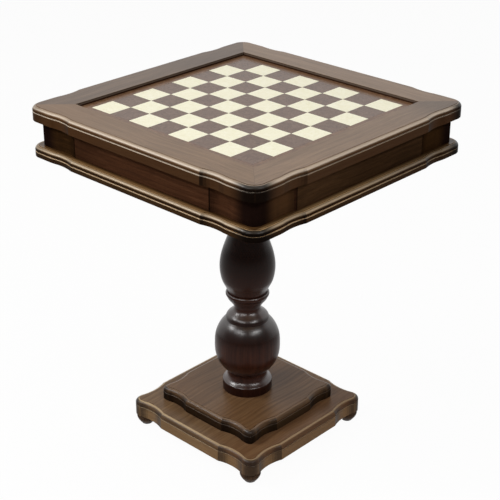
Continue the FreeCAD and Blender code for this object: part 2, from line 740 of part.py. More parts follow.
# Drawers: front, two sides, back and a bottom held in grooves; the back one is the front one
# turned half round
def drawer(name, sign):
    def across(y_near, y_far):
        """Order two distances from the table axis for the front or the back drawer."""
        if sign < 0:
            return "-(%s)" % y_far, "-(%s)" % y_near
        return y_near, y_far

    side_top = "levels.top_under - sizes.drawer_head_room"
    side_inside = "levels.box_half - sizes.drawer_side_thickness"
    groove_wall = "%s + sizes.drawer_groove_depth" % side_inside
    back_inside = "levels.drawer_end + sizes.drawer_side_thickness"
    groove_low = "levels.bottom_under - sizes.drawer_groove_play"
    groove_high = "levels.bottom_top + sizes.drawer_groove_play"
    groove_front = "levels.front_inside + sizes.drawer_groove_depth"

    front_y = across("levels.front_inside", "levels.apron_half")
    front_board = block(
        name + "_front_board",
        "-levels.front_half", "levels.front_half",
        front_y[0], front_y[1],
        "levels.box_floor + sizes.drawer_gap", "levels.top_under - sizes.drawer_gap",
    )
    groove_y = across("levels.front_inside - sizes.cut_overrun", groove_front)
    groove = block(
        name + "_groove",
        "-(%s)" % groove_wall, groove_wall,
        groove_y[0], groove_y[1],
        groove_low, groove_high,
    )
    piece(name + "_front", cut_away(name + "_front", front_board, [groove]))

    side_y = across("levels.drawer_end", "levels.front_inside")
    side_groove_y = across(
        "levels.drawer_end - sizes.cut_overrun", "levels.front_inside + sizes.cut_overrun"
    )
    for side in ("right", "left"):
        outer, inner, wall = "levels.box_half", side_inside, groove_wall
        lip = "%s - sizes.cut_overrun" % side_inside
        board_x = (inner, outer)
        groove_x = (lip, wall)
        if side == "left":
            board_x = ("-(%s)" % outer, "-(%s)" % inner)
            groove_x = ("-(%s)" % wall, "-(%s)" % lip)
        board = block(
            "%s_%s_board" % (name, side),
            board_x[0], board_x[1],
            side_y[0], side_y[1],
            "levels.box_floor", side_top,
        )
        slot = block(
            "%s_%s_groove" % (name, side),
            groove_x[0], groove_x[1],
            side_groove_y[0], side_groove_y[1],
            groove_low, groove_high,
        )
        piece("%s_side_%s" % (name, side), cut_away("%s_side_%s" % (name, side), board, [slot]))

    back_y = across("levels.drawer_end", back_inside)
    piece(
        name + "_back",
        block(
            name + "_back",
            "-(%s)" % side_inside, side_inside,
            back_y[0], back_y[1],
            groove_high, side_top,
        ),
    )

    bottom_y = across("levels.drawer_end", "%s - sizes.drawer_groove_play" % groove_front)
    bottom_edge = "%s - sizes.drawer_groove_play" % groove_wall
    bottom_board = block(
        name + "_bottom_board",
        "-(%s)" % bottom_edge, bottom_edge,
        bottom_y[0], bottom_y[1],
        "levels.bottom_under", "levels.bottom_top",
    )
    hole_distance = "(levels.lower_inside - sizes.finger_slot / 2)"
    hole_y = hole_distance if sign > 0 else "-" + hole_distance
    finger_hole = rod(
        name + "_finger_hole",
        "sizes.finger_hole_diameter / 2",
        "0", hole_y,
        "levels.bottom_under - sizes.cut_overrun", "levels.bottom_top + sizes.cut_overrun",
    )
    piece(name + "_bottom", cut_away(name + "_bottom", bottom_board, [finger_hole]))


drawer("front_drawer", -1)
drawer("back_drawer", 1)


# Turned pieces: half the section is drawn as radius and height, then revolved about the axis
def curve(points):
    """A smooth turned run through points given as radius and height."""
    line = Part.BSplineCurve()
    line.interpolate(Points=[vector(radius, height) for radius, height in points])
    return line


def straight(first, second):
    return Part.LineSegment(vector(*first), vector(*second))


def bulge(first, middle, second):
    return Part.Arc(vector(*first), vector(*middle), vector(*second))


def between(low, high, share):
    return low + (high - low) * share


def swept(start, end, shares):
    """Points from start to end; each share says how far radius and height have gone by then."""
    points = []
    for radius_share, height_share in shares:
        radius = between(start[0], end[0], radius_share)
        points.append((radius, between(start[1], end[1], height_share)))
    return [start] + points + [end]


def rounded(start, end):
    """A quarter round that leaves the start upwards and meets the end level."""
    quarter = math.sqrt(0.5)
    middle = (between(end[0], start[0], quarter), between(start[1], end[1], quarter))
    return bulge(start, middle, end)


def bead(radius, depth, z_low, z_high):
    """A half-round bead standing out to a radius, between two heights."""
    return bulge((radius - depth, z_low), (radius, (z_low + z_high) / 2), (radius - depth, z_high))


def turned_body(name, section):
    """A body revolved from half its section, drawn in the XZ plane."""
    body = doc.addObject("PartDesign::Body", name)
    sketch = body.newObject("Sketcher::SketchObject", name + "_section")
    plane = [item for item in body.Origin.OriginFeatures if item.Role == "XZ_Plane"][0]
    sketch.AttachmentSupport = [(plane, "")]
    sketch.MapMode = "FlatFace"
    sketch.addGeometry(section, False)
    for number in range(len(section)):
        following = (number + 1) % len(section)
        sketch.addConstraint(Sketcher.Constraint("Coincident", number, 2, following, 1))
    turning = body.newObject("PartDesign::Revolution", name + "_turning")
    turning.Profile = sketch
    turning.ReferenceAxis = (sketch, ["V_Axis"])
    turning.Angle = 360.0
    body.Tip = turning
    doc.recompute()
    return body


# Column: one length of hardwood with a foot ring, ball, cup, collar, vase and capital, bored
# through for the tie rod.  The shares say how full each turned curve is on its way.
FLARE_RISE = [(0.47, 0.16), (0.80, 0.36), (0.97, 0.63)]
BALL_DROP = [(0.43, 0.19), (0.77, 0.43), (0.96, 0.70)]
BALL_RISE = [(0.05, 0.33), (0.26, 0.61), (0.65, 0.87)]
WAIST_FALL = [(0.19, 0.26), (0.64, 0.57), (0.91, 0.81)]
CUP_RISE = [(0.25, 0.34), (0.68, 0.69)]
CUP_LIP_RISE = [(0.60, 0.50)]
VASE_RISE = [(0.29, 0.20), (0.69, 0.44), (0.92, 0.70)]
VASE_FALL = [(0.20, 0.31), (0.67, 0.64)]
CAPITAL_RISE = [(0.12, 0.35), (0.55, 0.75)]

bore = size("rod_diameter") / 2 + size("rod_clearance")
foot_inner = (bore, level("step_top"))
foot_outer = (size("ring_radius"), level("step_top"))
ring_side = (size("ring_radius"), level("ring_side_top"))
ring_edge = (size("ring_radius") - size("ring_round_width"), level("ring_top"))
ball_foot = (size("ball_foot_radius"), level("ball_foot"))
ball = (size("ball_radius"), level("ball_level"))
ball_top = (size("ball_top_radius"), level("shoulder_level"))
shoulder = (size("shoulder_radius"), level("shoulder_level"))
shoulder_top = (size("shoulder_radius"), level("shoulder_top"))
waist = (size("waist_radius"), level("waist_level"))
cup = (size("cup_radius"), level("cup_level"))
cup_step = (size("cup_radius") + size("cup_step"), level("cup_level"))
cup_lip = (size("cup_lip_radius"), level("cup_top"))
groove_radius = size("cup_lip_radius") - size("collar_groove_depth")
groove_low = (groove_radius, level("cup_top"))
groove_high = (groove_radius, level("collar_level"))
collar = (size("collar_radius") - size("collar_bulge"), level("collar_level"))
collar_top = (collar[0], level("collar_top"))
vase_foot = (size("vase_foot_radius"), level("collar_top"))
vase = (size("vase_radius"), level("vase_level"))
neck = (size("neck_radius"), level("neck_level"))
neck_ring = (size("neck_ring_radius") - size("neck_ring_bulge"), level("neck_ring_level"))
neck_ring_top = (neck_ring[0], level("neck_ring_top"))
capital_neck = (size("capital_radius") - size("capital_lip"), level("capital_level"))
capital_edge = (size("capital_radius"), level("capital_level"))
capital_top = (size("capital_radius"), level("column_top"))
top_inner = (bore, level("column_top"))

ball_points = swept(ball_foot, ball, BALL_DROP) + swept(ball, ball_top, BALL_RISE)[1:]
waist_points = swept(shoulder_top, waist, WAIST_FALL) + swept(waist, cup, CUP_RISE)[1:]
vase_points = swept(vase_foot, vase, VASE_RISE) + swept(vase, neck, VASE_FALL)[1:]
profile = [
    straight(foot_inner, foot_outer),
    straight(foot_outer, ring_side),
    rounded(ring_side, ring_edge),
    curve(swept(ring_edge, ball_foot, FLARE_RISE)),
    curve(ball_points),
    straight(ball_top, shoulder),
    straight(shoulder, shoulder_top),
    curve(waist_points),
    straight(cup, cup_step),
    curve(swept(cup_step, cup_lip, CUP_LIP_RISE)),
    straight(cup_lip, groove_low),
    straight(groove_low, groove_high),
    straight(groove_high, collar),
    bead(size("collar_radius"), size("collar_bulge"), collar[1], collar_top[1]),
    straight(collar_top, vase_foot),
    curve(vase_points + [neck_ring]),
    bead(size("neck_ring_radius"), size("neck_ring_bulge"), neck_ring[1], neck_ring_top[1]),
    curve(swept(neck_ring_top, capital_neck, CAPITAL_RISE)),
    straight(capital_neck, capital_edge),
    straight(capital_edge, capital_top),
    straight(capital_top, top_inner),
    straight(top_inner, foot_inner),
]
piece("column", turned_body("column", profile))

# Base: two moulded steps screwed together from below, with the lower nut of the tie rod let in
base_screw_points = []
for x_sign, y_sign in CORNER_SIGNS:
    x = signed(x_sign, "levels.step_screw")
    y = signed(y_sign, "levels.step_screw")
    base_screw_points.append((x, y))
base_screws, base_holes = screws_and_holes(
    "base_screw", base_screw_points, "levels.base_under", "sizes.base_thickness + sizes.screw_bite"
)
base_tools = base_holes + [rod_hole("base_rod_hole")]
base_tools.append(
    rod(
        "base_pocket",
        "sizes.pocket_diameter / 2",
        "0", "0",
        "levels.base_under - sizes.cut_overrun", "levels.base_under + sizes.pocket_depth",
    )
)
for corner, (x_sign, y_sign) in zip(CORNER_NAMES, CORNER_SIGNS):
    base_tools.append(
        rod(
            "tenon_hole_" + corner,
            "sizes.foot_tenon_diameter / 2 + sizes.glue_clearance",
            signed(x_sign, "levels.foot_centre"), signed(y_sign, "levels.foot_centre"),
            "levels.base_under - sizes.cut_overrun",
            "levels.base_under + sizes.foot_tenon_length + sizes.glue_clearance",
        )
    )
step_blank = doc.addObject("Part::Feature", "base_upper_blank")
step_plan = outline_sizes("step")
step_blank.Shape = moulded_slab(step_plan, "base_mould", level("base_top"), level("step_top"))
base_blank = doc.addObject("Part::Feature", "base_lower_blank")
base_plan = outline_sizes("base")
base_blank.Shape = moulded_slab(base_plan, "base_mould", level("base_under"), level("base_top"))
step_tools = base_holes + [rod_hole("step_rod_hole")]
piece("base_upper_step", cut_away("base_upper_step", step_blank, step_tools))
piece("base_lower_step", cut_away("base_lower_step", base_blank, base_tools))
piece("base_screws", group("base_screws", base_screws))

# Tie rod from the base to the mounting plate, with a washer and a nut at each end
lower_seat = "levels.base_under + sizes.pocket_depth"
upper_seat = "levels.plate_top - sizes.pocket_depth"
stack = "sizes.washer_thickness + sizes.nut_height"
piece(
    "tie_rod",
    rod(
        "tie_rod",
        "sizes.rod_diameter / 2",
        "0", "0",
        "%s - (%s) - sizes.rod_overrun" % (lower_seat, stack),
        "%s + %s + sizes.rod_overrun" % (upper_seat, stack),
    ),
)


def thread_hole(name, z_low, z_high):
    return rod(name, "sizes.rod_diameter / 2 + sizes.glue_clearance", "0", "0", z_low, z_high)


def washer(name, z_low):
    z_high = "%s + sizes.washer_thickness" % z_low
    disc = rod(name + "_disc", "sizes.washer_diameter / 2", "0", "0", z_low, z_high)
    return cut_away(name, disc, [thread_hole(name + "_hole", z_low, z_high)])


def nut(name, z_low):
    z_high = "%s + sizes.nut_height" % z_low
    hexagon = doc.addObject("Part::Prism", name + "_hexagon")
    hexagon.Polygon = 6
    hexagon.setExpression("Circumradius", "sizes.nut_flats / sqrt(3)")
    hexagon.setExpression("Height", "sizes.nut_height")
    hexagon.setExpression("Placement.Base.z", z_low)
    return cut_away(name, hexagon, [thread_hole(name + "_hole", z_low, z_high)])


washers = [
    washer("lower_washer", "%s - sizes.washer_thickness" % lower_seat),
    washer("upper_washer", upper_seat),
]
nuts = [
    nut("lower_nut", "%s - (%s)" % (lower_seat, stack)),
    nut("upper_nut", "%s + sizes.washer_thickness" % upper_seat),
]
piece("tie_rod_washers", group("tie_rod_washers", washers))
piece("tie_rod_nuts", group("tie_rod_nuts", nuts))

# Feet: four turned buns with a tenon glued into the base, each on a felt pad
FOOT_RISE = [(0.55, 0.40), (0.86, 0.72)]


def foot_section():
    low = size("pad_thickness")
    top = level("base_under")
    tenon = size("foot_tenon_diameter") / 2
    tenon_top = top + size("foot_tenon_length")
    groove_level = between(low, top, size("foot_groove"))
    toe = (size("foot_toe_radius"), low)
    belly = (size("foot_radius"), between(low, top, size("foot_belly")))
    groove = (size("foot_neck_radius"), groove_level)
    return [
        straight((0, low), toe),
        curve(swept(toe, belly, FOOT_RISE) + [groove]),
        straight(groove, (groove[0], top)),
        straight((groove[0], top), (tenon, top)),
        straight((tenon, top), (tenon, tenon_top)),
        straight((tenon, tenon_top), (0, tenon_top)),
        straight((0, tenon_top), (0, low)),
    ]


pads = []
for corner, (x_sign, y_sign) in zip(CORNER_NAMES, CORNER_SIGNS):
    x = signed(x_sign, "levels.foot_centre")
    y = signed(y_sign, "levels.foot_centre")
    foot = turned_body("foot_" + corner, foot_section())
    foot.setExpression("Placement.Base.x", x)
    foot.setExpression("Placement.Base.y", y)
    piece("foot_" + corner, foot)
    pads.append(rod("pad_" + corner, "sizes.pad_radius", x, y, "0", "sizes.pad_thickness"))
piece("foot_pads", group("foot_pads", pads))

# Check every object, then write one file for each piece
doc.recompute()
for item in doc.Objects:
    if "Invalid" in item.State or "Error" in item.State:
        raise RuntimeError("object failed: " + item.Name)
os.makedirs("parts", exist_ok=True)
for item in PIECES:
    if item.Shape.isNull() or not item.Shape.isValid():
        raise RuntimeError("bad shape: " + item.Label)
    item.Shape.exportStep("parts/" + item.Label + ".step")
print(len(PIECES), "pieces written")
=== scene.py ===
import math

import bpy
from mathutils import Matrix, Vector


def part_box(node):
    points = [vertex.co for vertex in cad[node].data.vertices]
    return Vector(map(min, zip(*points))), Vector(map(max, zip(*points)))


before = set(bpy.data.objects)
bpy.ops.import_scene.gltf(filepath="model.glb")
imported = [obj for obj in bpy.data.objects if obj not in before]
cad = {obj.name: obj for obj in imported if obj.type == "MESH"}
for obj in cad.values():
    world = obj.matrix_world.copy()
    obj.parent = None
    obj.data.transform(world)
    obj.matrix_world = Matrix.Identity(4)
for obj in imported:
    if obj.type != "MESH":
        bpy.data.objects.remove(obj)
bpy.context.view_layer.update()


# Lower base step: a square slab glued up from hardwood, routed round its edge, stained mid walnut
# and finished in satin lacquer.  Dark glaze with painted shade lies in the grooves, and the crests
# were rubbed through and carry a painted highlight, so the edge shows dark and pale lines.
def linear(code):
    """One sRGB hex colour as linear red, green, blue and alpha."""
    shares = [int(code[place:place + 2], 16) / 255 for place in (1, 3, 5)]
    return [
        share / 12.92 if share <= 0.04045 else ((share + 0.055) / 1.055) ** 2.4 for share in shares
    ] + [1.0]


def add(tree, kind, sockets=None, **settings):
    """Add one shader node; a socket takes a plain value or another node's output."""
    made = tree.nodes.new(kind)
    for key, value in settings.items():
        setattr(made, key, value)
    for key, value in (sockets or {}).items():
        if isinstance(value, bpy.types.NodeSocket):
            tree.links.new(value, made.inputs[key])
        else:
            made.inputs[key].default_value = value
    return made


def finish(name):
    """A new material with its node tree and its main shader."""
    made = bpy.data.materials.new(name)
    made.use_nodes = True
    return made, made.node_tree, made.node_tree.nodes["Principled BSDF"]


def wear(nodes, material):
    """Give CAD pieces their finish."""
    for name in nodes:
        cad[name].data.materials.clear()
        cad[name].data.materials.append(material)


# turns that bring the grain direction onto the pattern's X axis
ALONG = {
    "x": (0.0, 0.0, 0.0),
    "y": (0.0, 0.0, math.radians(-90)),
    "z": (0.0, math.radians(90), 0.0),
}
# a face that looks along an axis by more than this counts as flat
FLAT = 0.97


def turned_sides(tree):
    """How far a face looks along X, along Y and up, each from 0 to 1."""
    normal = add(tree, "ShaderNodeNewGeometry").outputs["True Normal"]
    size = add(tree, "ShaderNodeVectorMath", {0: normal}, operation="ABSOLUTE").outputs[0]
    return add(tree, "ShaderNodeSeparateXYZ", {0: size}).outputs


def from_middle(tree):
    """How far a point lies from the middle of the table along X and along Y, in metres."""
    place = add(tree, "ShaderNodeTexCoord").outputs["Object"]
    size = add(tree, "ShaderNodeVectorMath", {0: place}, operation="ABSOLUTE").outputs[0]
    return add(tree, "ShaderNodeSeparateXYZ", {0: size}).outputs


def stained_wood(name, grain, tones, roughness, gleam, side_gleam, fibre=0.5, pore=0.5):
    """Stained hardwood under lacquer.  Long soft figure carries the light and dark of the stain,
    fine fibres streak it, open pores show as short dark dashes that dent the surface.  Faces that
    look up were burnished and gleam more than the sides."""
    made, tree, shader = finish(name)
    place = add(tree, "ShaderNodeTexCoord").outputs["Object"]
    if grain == "round":
        # veneered round the sides: front and back faces along X, all other faces along Y
        sides = turned_sides(tree)
        front = add(tree, "ShaderNodeMath", {0: sides["Y"], 1: 0.7}, operation="GREATER_THAN")
        along_x = add(tree, "ShaderNodeMapping", {"Vector": place, "Rotation": ALONG["x"]})
        along_y = add(tree, "ShaderNodeMapping", {"Vector": place, "Rotation": ALONG["y"]})
        turned = add(
            tree, "ShaderNodeMix",
            {0: front.outputs[0], 4: along_y.outputs[0], 5: along_x.outputs[0]}, data_type="VECTOR",
        ).outputs[1]
    else:
        turned = add(
            tree, "ShaderNodeMapping", {"Vector": place, "Rotation": ALONG[grain]}
        ).outputs[0]
    # the grain is bent by up to 20 mm in a slow drift about 150 mm long
    drift_length = 0.15
    bend = (0.02, 0.02, 0.02)
    drift = add(
        tree, "ShaderNodeTexNoise", {"Vector": place, "Scale": 1 / drift_length, "Detail": 1.0}
    )
    bent = add(
        tree, "ShaderNodeVectorMath",
        {0: drift.outputs["Color"], 1: bend, 2: turned}, operation="MULTIPLY_ADD",
    ).outputs[0]
    # length and width of each mark in metres; the fibres are coarser than real ones, so that they
    # show from afar
    marks = {}
    for mark, length, width, detail, rough in (
        ("figure", 0.30, 0.006, 4.0, 0.6),
        ("fibres", 0.11, 0.002, 3.0, 0.65),
        ("pores", 0.009, 0.0006, 1.0, 0.5),
    ):
        stretch = add(
            tree, "ShaderNodeMapping",
            {"Vector": bent, "Scale": (1 / length, 1 / width, 1 / width)},
        )
        marks[mark] = add(
            tree, "ShaderNodeTexNoise",
            {"Vector": stretch.outputs[0], "Scale": 1.0, "Detail": detail, "Roughness": rough},
        ).outputs[0]
    # nearly all of a noise pattern lies between these two values
    low = 0.3
    high = 0.7
    shade = add(tree, "ShaderNodeValToRGB", {"Fac": marks["figure"]})
    ramp = shade.color_ramp
    ramp.elements[0].position = low
    ramp.elements[0].color = linear(tones[0])
    ramp.elements[1].position = high
    ramp.elements[1].color = linear(tones[2])
    ramp.elements.new((low + high) / 2).color = linear(tones[1])
    streak = add(
        tree, "ShaderNodeMapRange",
        {
            "Value": marks["fibres"], "From Min": low, "From Max": high,
            "To Min": 1 - 0.5 * fibre, "To Max": 1 + 0.4 * fibre,
        },
    )
    slow = add(
        tree, "ShaderNodeMapRange",
        {
            "Value": drift.outputs[0], "From Min": low, "From Max": high,
            "To Min": 0.9, "To Max": 1.1,
        },
    )
    # only the peaks of the noise make pores
    dash = add(
        tree, "ShaderNodeMapRange",
        {
            "Value": marks["pores"], "From Min": 0.60, "From Max": 0.72,
            "To Min": 1.0, "To Max": 1 - 0.6 * pore,
        },
    ).outputs[0]
    tone = add(
        tree, "ShaderNodeMath", {0: streak.outputs[0], 1: slow.outputs[0]}, operation="MULTIPLY"
    )
    tone = add(tree, "ShaderNodeMath", {0: tone.outputs[0], 1: dash}, operation="MULTIPLY")
    colour = add(
        tree, "ShaderNodeVectorMath",
        {0: shade.outputs[0], "Scale": tone.outputs[0]}, operation="SCALE",
    )
    tree.links.new(colour.outputs[0], shader.inputs["Base Color"])
    spread = 0.07
    gloss = add(
        tree, "ShaderNodeMapRange",
        {"Value": marks["fibres"], "To Min": roughness + spread, "To Max": roughness - spread},
    )
    tree.links.new(gloss.outputs[0], shader.inputs["Roughness"])
    height = add(
        tree, "ShaderNodeMath", {0: marks["fibres"], 1: 0.35, 2: dash}, operation="MULTIPLY_ADD"
    )
    bump = add(
        tree, "ShaderNodeBump", {"Height": height.outputs[0], "Strength": 0.12, "Distance": 0.0003}
    )
    tree.links.new(bump.outputs[0], shader.inputs["Normal"])
    burnish = add(
        tree, "ShaderNodeMapRange",
        {
            "Value": turned_sides(tree)["Z"], "From Min": 0.3, "From Max": 0.7,
            "To Min": side_gleam, "To Max": gleam,
        },
    )
    tree.links.new(burnish.outputs[0], shader.inputs["Specular IOR Level"])
    shader.inputs["IOR"].default_value = 1.5
    return made


def lay_over(material, share, code):
    """Lay one more colour over what a material shows so far, by a share from 0 to 1."""
    tree = material.node_tree
    target = tree.nodes["Principled BSDF"].inputs["Base Color"]
    under = target.links[0].from_socket
    mixed = add(tree, "ShaderNodeMix", {0: share, 6: under, 7: linear(code)}, data_type="RGBA")
    tree.links.new(mixed.outputs[2], target)


def moulded_edge(material, top, glaze_and_shade, glaze_and_shade_stops, rub_and_highlight, rub_and_highlight_stops):
    """Glaze with painted shade in the grooves of a moulding, and on the band below where the stops
    reach it, and lacquer rubbed through with a painted highlight on its crests.  The stops give
    millimetres below the top face and how strongly each one shows there."""
    tree = material.node_tree
    place = add(tree, "ShaderNodeTexCoord").outputs["Object"]
    up = add(tree, "ShaderNodeSeparateXYZ", {0: place}).outputs["Z"]
    reach = 0.016
    depth = add(
        tree, "ShaderNodeMapRange", {"Value": up, "From Min": top, "From Max": top - reach}
    )
    for code, stops in ((glaze_and_shade, glaze_and_shade_stops), (rub_and_highlight, rub_and_highlight_stops)):
        share = add(tree, "ShaderNodeValToRGB", {"Fac": depth.outputs[0]})
        ramp = share.color_ramp
        ramp.elements.remove(ramp.elements[1])
        ramp.elements[0].position = 0.0
        ramp.elements[0].color = [stops[0][1]] * 3 + [1.0]
        for millimetres, strength in stops[1:]:
            made = ramp.elements.new(millimetres * 0.001 / reach)
            made.color = [strength] * 3 + [1.0]
        lay_over(material, share.outputs[0], code)


def toned_and_shaded_corners(material, code, strength, half, reach, left=1.0, scoop=0.85):
    """Dark toner, partly painted shade, on the scoops, where a side face turns, and blacker round
    the corners of a piece of this half width, fading out along its edges and never on the flat top.
    The corner between front and left, painted as lit by the left lamp, takes only the given share
    of it."""
    tree = material.node_tree
    sides = turned_sides(tree)
    turn = add(tree, "ShaderNodeMath", {0: sides["X"], 1: sides["Y"]}, operation="MINIMUM")
    share = add(
        tree, "ShaderNodeMapRange",
        {
            "Value": turn.outputs[0], "From Min": 0.08, "From Max": 0.25,
            "To Max": scoop * strength,
        },
    )
    away = from_middle(tree)
    near = add(tree, "ShaderNodeMath", {0: away["X"], 1: away["Y"]}, operation="MINIMUM")
    fade = add(
        tree, "ShaderNodeMapRange",
        {
            "Value": near.outputs[0], "From Min": half - reach, "From Max": half - 0.4 * reach,
            "To Max": strength,
        },
        interpolation_type="SMOOTHSTEP",
    )
    edge = add(tree, "ShaderNodeMath", {0: sides["Z"], 1: FLAT}, operation="LESS_THAN")
    fade = add(
        tree, "ShaderNodeMath", {0: fade.outputs[0], 1: edge.outputs[0]}, operation="MULTIPLY"
    )
    share = add(
        tree, "ShaderNodeMath", {0: share.outputs[0], 1: fade.outputs[0]}, operation="MAXIMUM"
    )
    place = add(tree, "ShaderNodeTexCoord").outputs["Object"]
    places = add(tree, "ShaderNodeSeparateXYZ", {0: place}).outputs
    diagonal = add(tree, "ShaderNodeMath", {0: places["X"], 1: places["Y"]}, operation="ADD")
    lit_corner_share = add(
        tree, "ShaderNodeMapRange",
        {
            "Value": diagonal.outputs[0], "From Min": -1.7 * half, "From Max": -1.3 * half,
            "To Min": left, "To Max": 1.0,
        },
    )
    share = add(
        tree, "ShaderNodeMath", {0: share.outputs[0], 1: lit_corner_share.outputs[0]}, operation="MULTIPLY"
    )
    lay_over(material, share.outputs[0], code)


def shaded_in(material, axis, start, full, code, strength):
    """One more tone shaded in along an axis, from where it starts to where it is full; a call lays
    stain, painted shade or painted light with it.
    """
    tree = material.node_tree
    place = add(tree, "ShaderNodeTexCoord").outputs["Object"]
    along = add(tree, "ShaderNodeSeparateXYZ", {0: place}).outputs[axis]
    share = add(
        tree, "ShaderNodeMapRange",
        {"Value": along, "From Min": start, "From Max": full, "To Max": strength},
        interpolation_type="SMOOTHSTEP",
    )
    lay_over(material, share.outputs[0], code)


lower_step_top = 0.0575
lower_step_half = 0.1695
# the glaze lays painted shade in the grooves; the rub marks rubbed crests with a painted highlight
base_glaze_and_shade = [(0, 0), (2.2, 0), (3.4, 0.5), (9.0, 0.5), (11.2, 0.45), (11.6, 0)]
base_rub_and_highlight = [
    (0, 0), (0.4, 0.1), (0.8, 0.65), (1.5, 0.65), (2.2, 0),
    (10.8, 0), (11.4, 0.35), (12.4, 0.35), (13.2, 0),
]
lower_step = stained_wood(
    "stained walnut, lower base step", "round", ("#634a32", "#74593e", "#83684a"),
    roughness=0.36, gleam=0.28, side_gleam=0.05, fibre=0.35,
)
moulded_edge(lower_step, lower_step_top, "#2a1c12", base_glaze_and_shade, "#d8bf98", base_rub_and_highlight)
# redder and darker to the right, partly painted shade; paler below the moulding, painted light;
# # toner and painted shade round the corners
shaded_in(lower_step, "X", start=0.0, full=0.16, code="#633c22", strength=0.4)
shaded_in(lower_step, "Z", start=0.047, full=0.04, code="#96764f", strength=0.35)
toned_and_shaded_corners(lower_step, "#29211d", strength=0.8, half=lower_step_half, reach=0.034)
wear(["base_lower_step"], lower_step)

# Upper base step: a smaller slab of the same walnut with the same routed edge, screwed to the
# lower one from below.  Its dark glaze, with painted shade, runs on down its side to the joint
# between the two.
upper_step_top = 0.0855
upper_step_half = 0.128
step_glaze_and_shade = [
    (0, 0), (0.3, 0.5), (2.0, 0.3), (4.5, 0.4), (9.8, 0.65), (10.6, 0.88), (16.0, 0.88),
]
upper_step = stained_wood(
    "stained walnut, upper base step", "round", ("#5a4028", "#6c4f34", "#7b5e41"),
    roughness=0.34, gleam=0.34, side_gleam=0.05, fibre=0.35,
)
moulded_edge(upper_step, upper_step_top, "#160a04", step_glaze_and_shade, "#8d7560", base_rub_and_highlight)
# a little paler at the right edge, a painted highlight; toner and painted shade round the corners
shaded_in(upper_step, "X", start=0.116, full=0.126, code="#8a6c4c", strength=0.12)
toned_and_shaded_corners(upper_step, "#17100c", strength=0.8, half=upper_step_half, reach=0.030)
wear(["base_upper_step"], upper_step)

# Bun feet: four feet turned from the same walnut, each with a tenon in the lower step.  They sit
# # low under the base; their darker tone is a painted shade, and their lacquer is duller.
feet = ["foot_front_right", "foot_back_right", "foot_back_left", "foot_front_left"]
foot_walnut = stained_wood(
    "stained walnut of the feet", "z", ("#35271b", "#473527", "#553f30"),
    roughness=0.45, gleam=0.1, side_gleam=0.03,
)
wear(feet, foot_walnut)

# Felt pads: punched discs of grey wool felt glued under the feet.  The wool gives a matt, fuzzy
# face of short crossed fibres, drawn as tufts of 1.5 mm so that they show.
tuft = 0.0015
felt, tree, shader = finish("grey wool felt")
place = add(tree, "ShaderNodeTexCoord").outputs["Object"]
wool = add(
    tree, "ShaderNodeTexNoise",
    {"Vector": place, "Scale": 1 / tuft, "Detail": 4.0, "Distortion": 1.5},
).outputs[0]
shade = add(tree, "ShaderNodeValToRGB", {"Fac": wool})
shade.color_ramp.elements[0].color = linear("#1d1b1a")
shade.color_ramp.elements[1].color = linear("#3a3735")
fuzz = add(tree, "ShaderNodeBump", {"Height": wool, "Strength": 0.5, "Distance": 0.0006})
tree.links.new(shade.outputs[0], shader.inputs["Base Color"])
tree.links.new(fuzz.outputs[0], shader.inputs["Normal"])
shader.inputs["Roughness"].default_value = 0.95
shader.inputs["Sheen Weight"].default_value = 0.3
wear(["foot_pads"], felt)

# Column: one turned length of hardwood, stained to a very dark espresso and lacquered, standing on
# the base with a rod through it.  The grain runs up the turning and hardly shows under the stain.
column_wood = stained_wood(
    "espresso stained column", "z", ("#2c150d", "#381c12", "#432418"),
    roughness=0.3, gleam=1.0, side_gleam=0.1, fibre=0.25, pore=0.2,
)
# darker at the foot; painted shade above the ball and up the vase, under the top, darkest up the
# # vase; redder again at the waist
shaded_in(column_wood, "Z", start=0.112, full=0.098, code="#190d0a", strength=0.5)
shaded_in(column_wood, "Z", start=0.185, full=0.222, code="#150b08", strength=0.7)
shaded_in(column_wood, "Z", start=0.25, full=0.262, code="#381c12", strength=0.65)
shaded_in(column_wood, "Z", start=0.305, full=0.385, code="#150b07", strength=0.75)
wear(["column"], column_wood)

# Steel: the rod that clamps plate, column and base together, its nuts and washers, and the wood
# screws, all zinc plated.  The plating is a pale grey metal with faint clouds about 2 mm wide.
cloud_size = 0.002
steel, tree, shader = finish("zinc plated steel")
place = add(tree, "ShaderNodeTexCoord").outputs["Object"]
plating = add(
    tree, "ShaderNodeTexNoise", {"Vector": place, "Scale": 1 / cloud_size, "Detail": 3.0}
).outputs[0]
shade = add(tree, "ShaderNodeValToRGB", {"Fac": plating})
shade.color_ramp.elements[0].color = linear("#8e9194")
shade.color_ramp.elements[1].color = linear("#b9bcc0")
gloss = add(tree, "ShaderNodeMapRange", {"Value": plating, "To Min": 0.28, "To Max": 0.42})
tree.links.new(shade.outputs[0], shader.inputs["Base Color"])
tree.links.new(gloss.outputs[0], shader.inputs["Roughness"])
shader.inputs["Metallic"].default_value = 1.0
wear(["tie_rod", "tie_rod_nuts", "tie_rod_washers", "base_screws", "mounting_screws"], steel)

# Box floor: a birch plywood panel and the mounting plate that is screwed to it, with the drawer
# guides, stop bar, splines and dowels in plain beech.  Both woods are bare, pale and dull.
plywood = stained_wood(
    "birch plywood", "x", ("#a8814f", "#b99465", "#c7a67a"),
    roughness=0.55, gleam=0.3, side_gleam=0.2, fibre=0.35, pore=0.2,
)
beech_tones = ("#a67c52", "#b68c62", "#c39b72")
beech = stained_wood(
    "plain beech", "y", beech_tones,
    roughness=0.5, gleam=0.3, side_gleam=0.2, fibre=0.4, pore=0.3,
)
wear(["bottom_panel", "mounting_plate", "board_core"], plywood)
wear(["drawer_guide_right", "drawer_guide_left", "drawer_stop_bar"], beech)
wear(["top_mitre_splines", "post_dowels"], beech)

